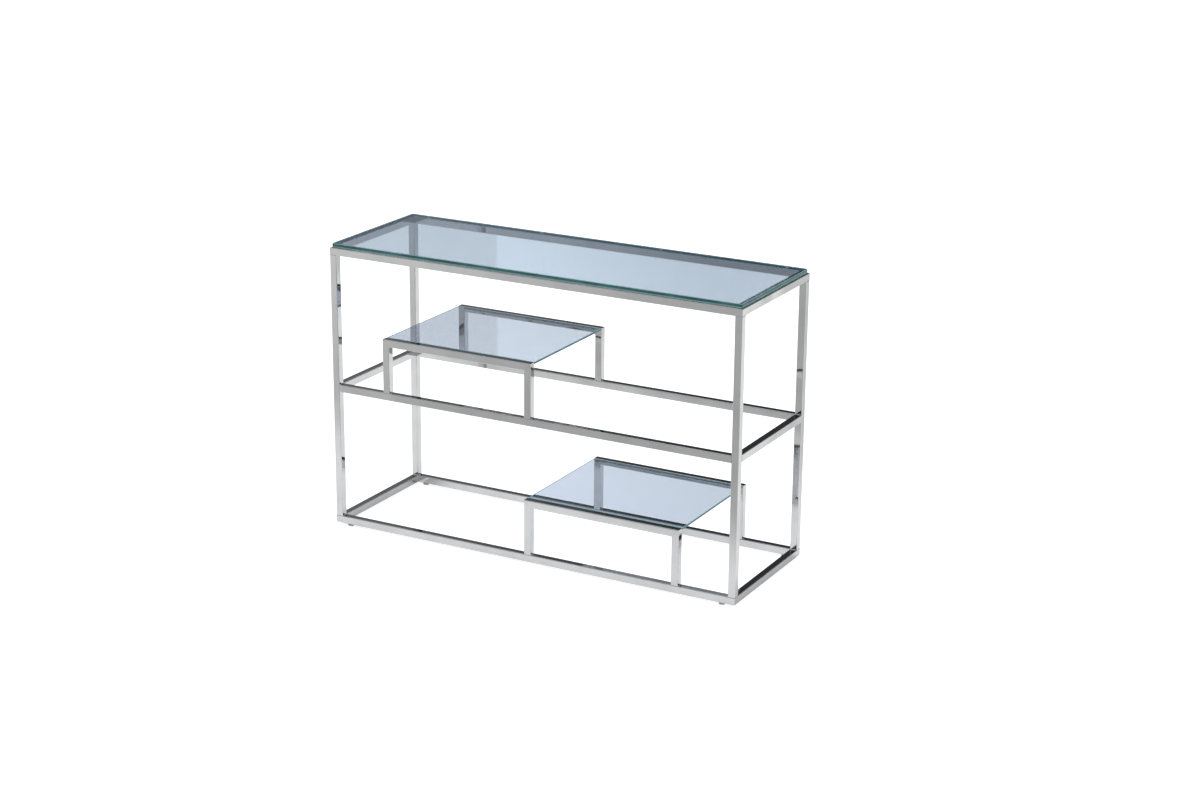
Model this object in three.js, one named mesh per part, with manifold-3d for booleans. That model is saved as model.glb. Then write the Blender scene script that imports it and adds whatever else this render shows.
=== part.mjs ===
// Console table: a welded box frame of polished square tube with a glass top and two glass shelves.
// Millimetres, +Z up, +X along the length, -Y is the front. The origin is on the floor under the middle.

import * as THREE from 'three';
import { mergeVertices } from 'three/addons/utils/BufferGeometryUtils.js';
import Module from 'manifold-3d';

const wasm = await Module();
wasm.setup();

// ---- Driving dimensions ----

const LENGTH = 1200; // overall, along X
const DEPTH = 400; // overall, along Y

const TUBE = 20; // outside width of the square tube
const TUBE_WALL = 1.2;
const TUBE_CORNER = 1.8; // outside corner radius of the tube

// Heights are above the underside of the frame, which the feet hold off the floor.
const FRAME_HEIGHT = 770; // to the top of the top rails
const MIDDLE_FRAME_TOP = 394;
const UPPER_SHELF_TOP = 542;
const LOWER_SHELF_TOP = 171;
const BRACKET_LENGTH = 450; // outside length of each shelf bracket

const TOP_GLASS = 10; // thickness
const TOP_GLASS_INSET = 4; // from the frame's outside faces
const TOP_GLASS_CORNER = 5; // corner radius seen from above
const SHELF_GLASS = 6;
const SHELF_GLASS_GAP = 1.5; // to the bars in front and behind
const SHELF_GLASS_END_INSET = 1; // from the outside of the bracket's posts
const SHELF_GLASS_CORNER = 2;
const GLASS_ARRIS = 0.8; // width of the ground flat along each edge of the glass

const LEDGE_WIDTH = 8;
const LEDGE_THICKNESS = 3;
const GASKET_WIDTH = 7;
const GASKET_THICKNESS = 1.5;
const GASKET_END_INSET = 8; // from the ends of the ledge

const BUMPER_RADIUS = 5;
const BUMPER_TOP_RADIUS = 4;
const BUMPER_HEIGHT = 1;
const BUMPER_COUNT = 4; // along each long rail
const BUMPER_END_INSET = 60; // from the ends of the table

const FOOT_INSET = 40; // from the ends of the table to the foot's axis
const PAD_RADIUS = 8;
const PAD_HEIGHT = 4;
const PAD_CHAMFER = 0.8;
const SOCKET_RADIUS = 2.7; // in the top of the pad, where the stud's end turns
const SOCKET_FLOOR = 1.5;
const HEX_ACROSS_FLATS = 10;
const HEX_HEIGHT = 1.8;
const STUD_RADIUS = 3; // major radius of the thread
const STUD_LENGTH = 18; // above the hexagon
const STUD_LEAD = 0.6; // chamfer at the thread's end
const STUD_END_RADIUS = 2.5;
const FLANGE_RADIUS = 6.5; // of the threaded insert, under the rail
const FLANGE_THICKNESS = 1;
const INSERT_RADIUS = 4.5;
const INSERT_LENGTH = 11; // above the flange
const INSERT_BORE = 3.1;
const FIT_GAP = 0.1; // between faces that bear on each other in the foot
const HOLE_CLEARANCE = 0.15; // round the insert, in the rail's wall

const CORNER_STEPS = 3; // facets on a tube's corner
const ROUND_STEPS = 24; // facets on a full circle

// ---- Derived dimensions ----

const HALF_TUBE = TUBE / 2;
const FRAME_BOTTOM = PAD_HEIGHT + HEX_HEIGHT + 2 * FIT_GAP + FLANGE_THICKNESS;
const FRAME_TOP = FRAME_BOTTOM + FRAME_HEIGHT;
const TOP_GLASS_BOTTOM = FRAME_TOP + BUMPER_HEIGHT;

// ---- Materials ----

const chrome = new THREE.MeshStandardMaterial({ color: 0xd9dbde, roughness: 0.05, metalness: 1 });
const steel = new THREE.MeshStandardMaterial({ color: 0xb9bcc0, roughness: 0.3, metalness: 1 });
const glass = new THREE.MeshStandardMaterial({
  color: 0xc3d8ea,
  roughness: 0.02,
  metalness: 0,
  transparent: true,
  opacity: 0.35,
});
const clearPlastic = new THREE.MeshStandardMaterial({
  color: 0xe6ebec,
  roughness: 0.25,
  metalness: 0,
  transparent: true,
  opacity: 0.5,
});
const padPlastic = new THREE.MeshStandardMaterial({ color: 0xdddddd, roughness: 0.5, metalness: 0 });

// ---- Geometry helpers ----

// A rectangle with round corners, centred on the origin, as a list of points.
function roundedRectangle(width, height, radius, steps) {
  const points = [];
  for (let corner = 0; corner < 4; corner += 1) {
    const signX = corner === 0 || corner === 3 ? 1 : -1;
    const signY = corner < 2 ? 1 : -1;
    for (let step = 0; step <= steps; step += 1) {
      const angle = (corner + step / steps) * (Math.PI / 2);
      const x = signX * (width / 2 - radius) + radius * Math.cos(angle);
      const y = signY * (height / 2 - radius) + radius * Math.sin(angle);
      points.push(new THREE.Vector2(x, y));
    }
  }
  return points;
}

// Square tube along +Z from 0 to length. A mitred end is cut at 45 degrees: it keeps its full length on
// the +Y side and is shorter by the tube's width on the -Y side.
function squareTube(length, mitredStart, mitredEnd) {
  const outline = new THREE.Shape(roundedRectangle(TUBE, TUBE, TUBE_CORNER, CORNER_STEPS));
  const bore = TUBE - 2 * TUBE_WALL;
  const boreCorner = TUBE_CORNER - TUBE_WALL;
  outline.holes.push(new THREE.Path(roundedRectangle(bore, bore, boreCorner, CORNER_STEPS)));
  const geometry = new THREE.ExtrudeGeometry(outline, { depth: length, bevelEnabled: false });
  const position = geometry.attributes.position;
  for (let i = 0; i < position.count; i += 1) {
    const cut = HALF_TUBE - position.getY(i);
    const atStart = position.getZ(i) < length / 2;
    if (atStart && mitredStart) position.setZ(i, cut);
    if (!atStart && mitredEnd) position.setZ(i, length - cut);
  }
  return geometry;
}

// Flat pane or strip centred on the origin in X and Y, standing on z = 0, with ground arrises.
function pane(width, depth, thickness, radius, arris) {
  const outline = new THREE.Shape(roundedRectangle(width, depth, radius, CORNER_STEPS));
  const geometry = new THREE.ExtrudeGeometry(outline, {
    depth: thickness - 2 * arris,
    bevelThickness: arris,
    bevelSize: arris,
    bevelOffset: -arris,
    bevelSegments: 1,
  });
  return geometry.translate(0, 0, arris);
}

// Solid of revolution about Z, from [radius, height] pairs listed upwards round the outside.
function turned(profile) {
  const points = profile.map(([radius, height]) => new THREE.Vector2(radius, height));
  const geometry = new THREE.LatheGeometry(points, ROUND_STEPS);
  return geometry.rotateX(Math.PI / 2);
}

// Cylinder about Z from bottom to top.
function cylinder(radius, bottom, top) {
  return turned([[0, bottom], [radius, bottom], [radius, top], [0, top]]);
}

function toSolid(geometry) {
  const bare = geometry.clone();
  bare.deleteAttribute('normal');
  bare.deleteAttribute('uv');
  const merged = mergeVertices(bare);
  return new wasm.Manifold(new wasm.Mesh({
    numProp: 3,
    vertProperties: new Float32Array(merged.attributes.position.array),
    triVerts: new Uint32Array(merged.index.array),
  }));
}

function fromSolid(solid) {
  const mesh = solid.getMesh();
  const geometry = new THREE.BufferGeometry();
  geometry.setAttribute('position', new THREE.BufferAttribute(mesh.vertProperties, 3));
  geometry.setIndex(new THREE.BufferAttribute(mesh.triVerts, 1));
  geometry.computeVertexNormals();
  return geometry;
}

// ---- Assembly helpers ----

const table = new THREE.Group();

function addPiece(name, geometry, material, x = 0, y = 0, z = 0) {
  const mesh = new THREE.Mesh(geometry, material);
  mesh.name = name;
  mesh.position.set(x, y, z);
  table.add(mesh);
  return mesh;
}

// Puts a tube so that it runs from start towards along, with its full-length side towards outward.
function addTube(name, geometry, start, along, outward) {
  const across = new THREE.Vector3().crossVectors(outward, along);
  const tube = addPiece(name, geometry, chrome, start.x, start.y, start.z);
  tube.quaternion.setFromRotationMatrix(new THREE.Matrix4().makeBasis(across, outward, along));
}

const RIGHT = new THREE.Vector3(1, 0, 0);
const LEFT = new THREE.Vector3(-1, 0, 0);
const REAR = new THREE.Vector3(0, 1, 0);
const FRONT = new THREE.Vector3(0, -1, 0);
const UP = new THREE.Vector3(0, 0, 1);

// The four sides, taken anticlockwise from above. Each rail's local +X then points up.
const SIDES = [
  { name: 'front', outward: FRONT, along: RIGHT, length: LENGTH, reach: DEPTH / 2 },
  { name: 'right', outward: RIGHT, along: REAR, length: DEPTH, reach: LENGTH / 2 },
  { name: 'rear', outward: REAR, along: LEFT, length: LENGTH, reach: DEPTH / 2 },
  { name: 'left', outward: LEFT, along: FRONT, length: DEPTH, reach: LENGTH / 2 },
];

const CORNERS = [
  { name: 'front_left', x: -1, y: -1 },
  { name: 'front_right', x: 1, y: -1 },
  { name: 'rear_right', x: 1, y: 1 },
  { name: 'rear_left', x: -1, y: 1 },
];

// Start of a rail of the given length, centred on its side of the table.
function railStart(side, length, centreHeight) {
  return new THREE.Vector3()
    .addScaledVector(side.outward, side.reach - HALF_TUBE)
    .addScaledVector(side.along, -length / 2)
    .addScaledVector(UP, centreHeight);
}

// ---- Frame ----

// Round holes through the underside of a bottom rail, one for the threaded insert near each end.
function drillFootHoles(rail, length) {
  let solid = toSolid(rail);
  for (const distance of [FOOT_INSET, length - FOOT_INSET]) {
    const drill = cylinder(INSERT_RADIUS + HOLE_CLEARANCE, -TUBE, 0);
    drill.rotateY(Math.PI / 2);
    drill.translate(0, 0, distance);
    solid = solid.subtract(toSolid(drill));
  }
  return fromSolid(solid);
}

function addMitredFrame(level, topHeight, drilledSides) {
  for (const side of SIDES) {
    let rail = squareTube(side.length, true, true);
    if (drilledSides.includes(side.name)) rail = drillFootHoles(rail, side.length);
    const start = railStart(side, side.length, topHeight - HALF_TUBE);
    addTube(`${level}_${side.name}_rail`, rail, start, side.along, side.outward);
  }
}

function addMiddleFrame() {
  for (const side of SIDES) {
    const length = side.length - 2 * TUBE;
    const start = railStart(side, length, FRAME_BOTTOM + MIDDLE_FRAME_TOP - HALF_TUBE);
    addTube(`middle_${side.name}_rail`, squareTube(length, false, false), start, side.along, side.outward);
  }
}

function addLegs() {
  for (const corner of CORNERS) {
    const leg = squareTube(FRAME_HEIGHT - 2 * TUBE, false, false);
    const x = corner.x * (LENGTH / 2 - HALF_TUBE);
    const y = corner.y * (DEPTH / 2 - HALF_TUBE);
    addPiece(`${corner.name}_leg`, leg, chrome, x, y, FRAME_BOTTOM + TUBE);
  }
}

// ---- Shelves ----

// A bar on two posts, mitred where they meet. It stands on a rail and is flush with the rail's faces.
function addBracket(name, y, left, right, bottom, top) {
  const postLength = top - bottom;
  const leftPost = squareTube(postLength, false, true);
  const rightPost = squareTube(postLength, false, true);
  const leftStart = new THREE.Vector3(left + HALF_TUBE, y, bottom);
  const rightStart = new THREE.Vector3(right - HALF_TUBE, y, bottom);
  const barStart = new THREE.Vector3(left, y, top - HALF_TUBE);
  addTube(`${name}_left_post`, leftPost, leftStart, UP, LEFT);
  addTube(`${name}_right_post`, rightPost, rightStart, UP, RIGHT);
  addTube(`${name}_bar`, squareTube(right - left, true, true), barStart, RIGHT, UP);
}

// The pane lies between the bars with its top level with theirs, on a gasket on a ledge along each bar.
function addShelf(name, left, right, railTop, top) {
  const middle = (left + right) / 2;
  const ledgeLength = right - left - 2 * TUBE;
  const ledgeTop = top - SHELF_GLASS - GASKET_THICKNESS;
  for (const [end, sign] of [['front', -1], ['rear', 1]]) {
    addBracket(`${name}_${end}`, sign * (DEPTH / 2 - HALF_TUBE), left, right, railTop, top);
    const ledgeY = sign * (DEPTH / 2 - TUBE - LEDGE_WIDTH / 2);
    const ledge = new THREE.BoxGeometry(ledgeLength, LEDGE_WIDTH, LEDGE_THICKNESS);
    addPiece(`${name}_${end}_ledge`, ledge, chrome, middle, ledgeY, ledgeTop - LEDGE_THICKNESS / 2);
    const gasketLength = ledgeLength - 2 * GASKET_END_INSET;
    const gasketY = sign * (DEPTH / 2 - TUBE - LEDGE_WIDTH + GASKET_WIDTH / 2);
    const gasket = new THREE.BoxGeometry(gasketLength, GASKET_WIDTH, GASKET_THICKNESS);
    const gasketZ = ledgeTop + GASKET_THICKNESS / 2;
    addPiece(`${name}_${end}_gasket`, gasket, clearPlastic, middle, gasketY, gasketZ);
  }
  const width = right - left - 2 * SHELF_GLASS_END_INSET;
  const depth = DEPTH - 2 * (TUBE + SHELF_GLASS_GAP);
  const shelfPane = pane(width, depth, SHELF_GLASS, SHELF_GLASS_CORNER, GLASS_ARRIS);
  addPiece(`${name}_glass`, shelfPane, glass, middle, 0, top - SHELF_GLASS);
}

// ---- Top ----

function addTop() {
  const width = LENGTH - 2 * TOP_GLASS_INSET;
  const depth = DEPTH - 2 * TOP_GLASS_INSET;
  const topPane = pane(width, depth, TOP_GLASS, TOP_GLASS_CORNER, GLASS_ARRIS);
  addPiece('top_glass', topPane, glass, 0, 0, TOP_GLASS_BOTTOM);

  const bumper = turned([
    [0, 0],
    [BUMPER_RADIUS, 0],
    [BUMPER_RADIUS, BUMPER_HEIGHT / 2],
    [BUMPER_TOP_RADIUS, BUMPER_HEIGHT],
    [0, BUMPER_HEIGHT],
  ]);
  const firstX = -LENGTH / 2 + BUMPER_END_INSET;
  const spacing = (LENGTH - 2 * BUMPER_END_INSET) / (BUMPER_COUNT - 1);
  for (const [end, sign] of [['front', -1], ['rear', 1]]) {
    for (let i = 0; i < BUMPER_COUNT; i += 1) {
      const y = sign * (DEPTH / 2 - HALF_TUBE);
      addPiece(`${end}_bumper_${i + 1}`, bumper, clearPlastic, firstX + i * spacing, y, FRAME_TOP);
    }
  }
}

// ---- Levelling feet ----

const HEX_BOTTOM = PAD_HEIGHT + FIT_GAP;
const HEX_TOP = HEX_BOTTOM + HEX_HEIGHT;
const FLANGE_BOTTOM = HEX_TOP + FIT_GAP;

// Round pad with a socket in its top.
function footPad() {
  return turned([
    [0, 0],
    [PAD_RADIUS - PAD_CHAMFER, 0],
    [PAD_RADIUS, PAD_CHAMFER],
    [PAD_RADIUS, PAD_HEIGHT - 2 * PAD_CHAMFER],
    [PAD_RADIUS - 2 * PAD_CHAMFER, PAD_HEIGHT],
    [SOCKET_RADIUS, PAD_HEIGHT],
    [SOCKET_RADIUS, SOCKET_FLOOR],
    [0, SOCKET_FLOOR],
  ]);
}

// Threaded stud with a hexagon collar, whose plain lower end turns in the pad's socket.
function footStud() {
  const studTop = HEX_TOP + STUD_LENGTH;
  const shank = turned([
    [0, SOCKET_FLOOR + FIT_GAP],
    [STUD_END_RADIUS, SOCKET_FLOOR + FIT_GAP],
    [STUD_END_RADIUS, HEX_BOTTOM + HEX_HEIGHT / 2],
    [STUD_RADIUS, HEX_BOTTOM + HEX_HEIGHT / 2],
    [STUD_RADIUS, studTop - STUD_LEAD],
    [STUD_RADIUS - STUD_LEAD, studTop],
    [0, studTop],
  ]);
  const hexRadius = HEX_ACROSS_FLATS / Math.sqrt(3);
  const hexagon = new THREE.CylinderGeometry(hexRadius, hexRadius, HEX_HEIGHT, 6);
  hexagon.rotateX(Math.PI / 2);
  hexagon.translate(0, 0, HEX_BOTTOM + HEX_HEIGHT / 2);
  return fromSolid(toSolid(shank).add(toSolid(hexagon)));
}

// Flanged sleeve set in the underside of the rail.
function threadedInsert() {
  return turned([
    [INSERT_BORE, FLANGE_BOTTOM],
    [FLANGE_RADIUS, FLANGE_BOTTOM],
    [FLANGE_RADIUS, FRAME_BOTTOM],
    [INSERT_RADIUS, FRAME_BOTTOM],
    [INSERT_RADIUS, FRAME_BOTTOM + INSERT_LENGTH],
    [INSERT_BORE, FRAME_BOTTOM + INSERT_LENGTH],
    [INSERT_BORE, FLANGE_BOTTOM],
  ]);
}

function addFeet() {
  for (const corner of CORNERS) {
    const x = corner.x * (LENGTH / 2 - FOOT_INSET);
    const y = corner.y * (DEPTH / 2 - HALF_TUBE);
    addPiece(`${corner.name}_foot_pad`, footPad(), padPlastic, x, y, 0);
    addPiece(`${corner.name}_foot_stud`, footStud(), steel, x, y, 0);
    addPiece(`${corner.name}_threaded_insert`, threadedInsert(), steel, x, y, 0);
  }
}

// ---- The whole table ----

addMitredFrame('bottom', FRAME_BOTTOM + TUBE, ['front', 'rear']);
addMiddleFrame();
addMitredFrame('top', FRAME_TOP, []);
addLegs();

// The shelves' inner posts stand one above the other on the table's centre line.
addShelf(
  'upper_shelf',
  HALF_TUBE - BRACKET_LENGTH,
  HALF_TUBE,
  FRAME_BOTTOM + MIDDLE_FRAME_TOP,
  FRAME_BOTTOM + UPPER_SHELF_TOP,
);
addShelf(
  'lower_shelf',
  -HALF_TUBE,
  BRACKET_LENGTH - HALF_TUBE,
  FRAME_BOTTOM + TUBE,
  FRAME_BOTTOM + LOWER_SHELF_TOP,
);
addTop();
addFeet();

export default table;
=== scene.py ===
"""Looks of the console table: polished square tube, three clear glass panes, four levelling feet.

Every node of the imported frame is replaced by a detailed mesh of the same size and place.
Lengths are in metres; a piece's place comes from the box of the node that it replaces.
"""

import math

import bmesh
import bpy
from mathutils import Matrix, Vector


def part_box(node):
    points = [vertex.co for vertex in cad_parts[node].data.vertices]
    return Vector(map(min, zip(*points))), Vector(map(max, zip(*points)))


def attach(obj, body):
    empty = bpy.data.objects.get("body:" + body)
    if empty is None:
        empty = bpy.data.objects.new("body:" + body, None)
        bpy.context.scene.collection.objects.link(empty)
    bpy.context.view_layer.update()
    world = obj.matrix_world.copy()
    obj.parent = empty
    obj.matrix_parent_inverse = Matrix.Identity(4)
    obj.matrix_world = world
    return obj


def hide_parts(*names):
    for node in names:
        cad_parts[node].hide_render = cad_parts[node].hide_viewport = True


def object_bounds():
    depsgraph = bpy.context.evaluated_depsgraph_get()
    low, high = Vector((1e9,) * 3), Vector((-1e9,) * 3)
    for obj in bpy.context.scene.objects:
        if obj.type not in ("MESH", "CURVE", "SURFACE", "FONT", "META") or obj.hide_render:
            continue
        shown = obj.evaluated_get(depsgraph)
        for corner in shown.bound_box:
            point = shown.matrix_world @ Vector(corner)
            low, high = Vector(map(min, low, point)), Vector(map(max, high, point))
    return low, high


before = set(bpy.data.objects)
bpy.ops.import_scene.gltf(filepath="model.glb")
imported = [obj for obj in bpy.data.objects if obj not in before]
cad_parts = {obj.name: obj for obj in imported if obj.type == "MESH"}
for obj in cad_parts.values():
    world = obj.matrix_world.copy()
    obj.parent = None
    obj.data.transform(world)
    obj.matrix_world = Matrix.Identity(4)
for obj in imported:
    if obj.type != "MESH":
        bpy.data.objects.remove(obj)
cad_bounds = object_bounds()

MM = 0.001
CORNERS = ("front_left", "front_right", "rear_right", "rear_left")
X, Y, Z = Vector((1, 0, 0)), Vector((0, 1, 0)), Vector((0, 0, 1))

# Square tube: corner radius, wall, and the fine chamfer that leaves a seam line at each joint.
TUBE_CORNER = 1.8 * MM
TUBE_WALL = 1.2 * MM
TUBE_SEAM = 0.2 * MM
TUBE_CORNER_STEPS = 7
SMALLEST_CORNER = 0.3 * MM
CUTTER_REACH = 3 * TUBE_WALL

# Edges sharper than this stay sharp; panes and threads are shaded smoother than the rest.
SHARP_DEGREES = 35.0
PANE_SHARP_DEGREES = 75.0
STUD_SHARP_DEGREES = 50.0
NORMAL_WEIGHT = 100

# Weld beads in the inside corners of the joints: quarter rounds, a little flattened.
BEAD_LEG = 1.3 * MM
BEAD_FLATTENING = 0.20
BEAD_END_GAP = 1.9 * MM
BEAD_END_POWER = 6
BEAD_END_SHARE = 0.02
BEAD_RIPPLE = 0.10
BEAD_RIPPLE_PITCH = 1.1 * MM
BEAD_STEP = 0.22 * MM
BEAD_FEWEST_STEPS = 8
BEAD_ARC_STEPS = 6
STITCH_LENGTH = 22 * MM
STITCHES = 3

# Glass panes: corner radii in plan and the ground arris along each edge.
TOP_GLASS_CORNER = 5 * MM
SHELF_GLASS_CORNER = 2 * MM
GLASS_ARRIS = 0.8 * MM
ARRIS_STEPS = 3
PANE_CORNER_STEPS = 10

# Ledges, gaskets and bumpers. A bumper's domed side and flat top are shares of its radius.
RIB_STEPS = 8
BAR_CORNER_STEPS = 3
LEDGE_EDGE = 0.5 * MM
GASKET_EDGE = 0.35 * MM
GASKET_RIBS = 3
GASKET_RIB_DEPTH = 0.22 * MM
BUMPERS_PER_RAIL = 4
BUMPER_STEPS = 48
BUMPER_EDGE = 0.15 * MM
BUMPER_DOME = 0.2
BUMPER_DOME_STEPS = 6
BUMPER_FLAT = 0.72

# Feet: pad, threaded stud with a hexagon collar, and the flanged insert in the rail. The
# hexagon's bottom is a height above the floor.
ROUND_STEPS = 64
PAD_RIBS = 28
PAD_RIB_DEPTH = 0.35 * MM
PAD_CHAMFER = 0.7 * MM
PAD_RIM_INSET = 1.9 * MM
PAD_HOLLOW_INSET = 2.2 * MM
PAD_HOLLOW = 0.3 * MM
SOCKET_RADIUS = 2.7 * MM
SOCKET_FLOOR = 1.5 * MM
SOCKET_LIP = 0.5 * MM
SOCKET_LIP_DEPTH = 0.3 * MM
NECK_RADIUS = 2.5 * MM
NECK_END_RADIUS = 0.8 * NECK_RADIUS
NECK_CHAMFER = 0.3 * MM
HEX_FLATS = 10 * MM
HEX_HEIGHT = 1.8 * MM
HEX_BOTTOM = 4.1 * MM
HEX_CHAMFER = 0.35 * MM
RADIUS_STEP_RISE = 0.01 * MM
INSERT_FLANGE = 1.0 * MM
INSERT_EDGE = 0.15 * MM
INSERT_BODY_RADIUS = 4.5 * MM
INSERT_BORE = 3.1 * MM
INSERT_HOLE_CLEARANCE = 0.15 * MM

# The stud's thread. Crest and flank shape its profile: the share of its depth at the middle of
# a ridge, cut off at 1, and how much of it is lost over a whole pitch.
STUD_STEPS = 120
THREAD_RADIUS = 2.97 * MM
THREAD_DEPTH = 0.55 * MM
THREAD_PITCH = 1.0 * MM
THREAD_ROWS_PER_PITCH = 8
THREAD_CREST = 1.2
THREAD_FLANK = 2.76
THREAD_START_SHARE = 0.35
THREAD_ROOT_FLARE = 0.2 * MM
THREAD_TIP_DROP = 0.1 * MM
THREAD_LEAD = 1.0 * MM

# Camera: azimuth turns from straight in front towards +X.
AZIMUTH = math.radians(28.35)
ELEVATION = math.radians(17.80)
ROLL = math.radians(0.51)
CAMERA_DISTANCE = 6.291
CAMERA_LENS = 72.21
CAMERA_SENSOR_WIDTH = 36
CAMERA_CLIP_END = 200
AIM_FROM_CENTRE = Vector((0.1043, 0.0, 0.0190))

# Colours. A dark and a light one of the same name are the ends of a slight mottle.
CHROME_DARK = (0.585, 0.587, 0.592)
CHROME_LIGHT = (0.635, 0.637, 0.642)
TOP_GLASS_TINT = (0.72, 0.852, 1.0)
SHELF_GLASS_TINT = (0.70, 0.79, 0.915)
GLASS_SHADOW = (0.95, 0.97, 0.98)
EDGE_DARK = (0.030, 0.110, 0.120)
EDGE_LIGHT = (0.070, 0.200, 0.200)
# Painted reflection of the steel, near the foot of a glass edge.
EDGE_STEEL_REFLECTION = (0.30, 0.50, 0.47)
# Painted highlight on the arrises of a glass edge.
EDGE_ARRIS_HIGHLIGHT = (0.32, 0.60, 0.62)
PAD_DARK = (0.68, 0.68, 0.69)
PAD_LIGHT = (0.78, 0.78, 0.78)
ZINC_DARK = (0.52, 0.53, 0.54)
ZINC_LIGHT = (0.68, 0.69, 0.70)
CLEAR_PLASTIC_TINT = (0.86, 0.90, 0.91)

# Depths of the materials' bumps.
TUBE_WAVE = 1.6 * MM
POLISHING_LINES = 0.0015 * MM
GLASS_WAVE = 0.1 * MM
GRINDING_MARKS = 0.01 * MM
PLASTIC_CLOUD = 0.03 * MM
PAD_GRAIN = 0.04 * MM
TURNING_MARKS = 0.01 * MM

# Floor: it glows a little, so that shadows stay faint. It is brightest to the camera itself.
FLOOR_REACH = 45.0
FLOOR_CELLS = 8
FLOOR_ROUGHNESS = 0.9
FLOOR_WHITE = 0.50
FLOOR_GLOW = 0.78
FLOOR_IN_MIRRORS = 0.77

# Painted shade: in mirrors the floor is darker past two edges, one in front of the table, one to its
# right.
# Each edge is a line, its skew the slope of y over x, and fades between two offsets along y.
# The front edge's dark level changes between two places along x, and the back edge sets in
# between two others.
FRONT_SKEW = 0.229
FRONT_DARK = -1.0
FRONT_BRIGHT = -0.45
FRONT_LEFT_LEVEL = 0.78
FRONT_RIGHT_LEVEL = 0.52
FRONT_LEFT = -2.3
FRONT_RIGHT = -0.5
BACK_SKEW = 2.13
BACK_BRIGHT = -1.36
BACK_DARK = -1.04
BACK_LEVEL = 0.74
BACK_FROM = 0.7
BACK_TO = 1.0

# Through glass the floor is dimmer and has a painted bright strip of light behind the table. It starts at
# a sharp line and fades out; the line's skew is the slope of x over y, and offsets are along x.
STRIP_SKEW = -0.6
STRIP_START = -0.215
STRIP_EDGE = 0.02
STRIP_END = 0.85
STRIP_LEVEL = 0.92
THROUGH_GLASS_LEVEL = 0.765

# A soft shade in mirrors along the right of the two bottom side rails, as far as two places
# along y between which it fades.
SHADE_LEVEL = 0.60
SHADE_REACH = 0.11
SHADE_FROM = 0.19
SHADE_TO = 0.23

# Studio: a white dome above dark walls, which are lighter on the left. Heights and sides are
# the Z and X of a direction of length 1.
DOME_LOW = math.sin(math.radians(25))
DOME_HIGH = math.sin(math.radians(36))
DOME_STRENGTH = 1.62
DOME_IN_MIRRORS = 0.80
WALL_DARK = (0.040, 0.042, 0.046)
WALL_LIGHT = (0.160, 0.163, 0.170)
WALL_DARK_SIDE = -0.40
WALL_LIGHT_SIDE = -0.54
WHITE = (1.0, 1.0, 1.0)


# ---------------------------------------------------------------- small mesh helpers


def box_of(node):
    """Centre, size, lowest and highest corner of a node, as vectors."""
    low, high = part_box(node)
    return (low + high) / 2, high - low, low, high


def rounded_outline(width, height, radius, steps):
    """Points of a rounded rectangle about the origin, anticlockwise from the lower right."""
    points = []
    for quarter, (sx, sy) in enumerate(((1, -1), (1, 1), (-1, 1), (-1, -1))):
        centre_x = sx * (width / 2 - radius)
        centre_y = sy * (height / 2 - radius)
        for step in range(steps + 1):
            angle = math.pi / 2 * (quarter - 1 + step / steps)
            points.append((centre_x + radius * math.cos(angle), centre_y + radius * math.sin(angle)))
    return points


def ring_of(mesh, points):
    """New vertices for a closed ring of points."""
    return [mesh.verts.new(point) for point in points]


def bridge(mesh, lower, upper, material=0):
    """Quads between two rings of the same count."""
    faces = []
    count = len(lower)
    for i in range(count):
        j = (i + 1) % count
        face = mesh.faces.new((lower[i], lower[j], upper[j], upper[i]))
        face.material_index = material
        faces.append(face)
    return faces


def finish_piece(mesh, name, body, materials, nodes=(), sharp_degrees=SHARP_DEGREES):
    """Makes the object of a bmesh, shades it smooth between sharp edges and fixes it to a body."""
    bmesh.ops.recalc_face_normals(mesh, faces=mesh.faces)
    limit = math.radians(sharp_degrees)
    for edge in mesh.edges:
        edge.smooth = edge.calc_face_angle(math.pi) < limit
    for face in mesh.faces:
        face.smooth = True
    data = bpy.data.meshes.new(name)
    mesh.to_mesh(data)
    mesh.free()
    piece = bpy.data.objects.new(name, data)
    bpy.context.scene.collection.objects.link(piece)
    for material in materials:
        data.materials.append(material)
    normals = piece.modifiers.new("even_normals", "WEIGHTED_NORMAL")
    normals.keep_sharp = True
    normals.weight = NORMAL_WEIGHT
    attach(piece, body)
    if nodes:
        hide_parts(*nodes)
    return piece


def turned(mesh, centre, profile, steps, wobble=None):
    """A ring for each (radius, height) of a closed profile, turned about a vertical axis."""
    rings = []
    for radius, height in profile:
        points = []
        for step in range(steps):
            angle = 2 * math.pi * step / steps
            reach = radius + (wobble(angle, height) if wobble else 0.0)
            points.append((centre.x + reach * math.cos(angle), centre.y + reach * math.sin(angle), height))
        rings.append(ring_of(mesh, points))
    for lower, upper in zip(rings, rings[1:]):
        bridge(mesh, lower, upper)
    return rings


# ---------------------------------------------------------------- square tube


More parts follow.
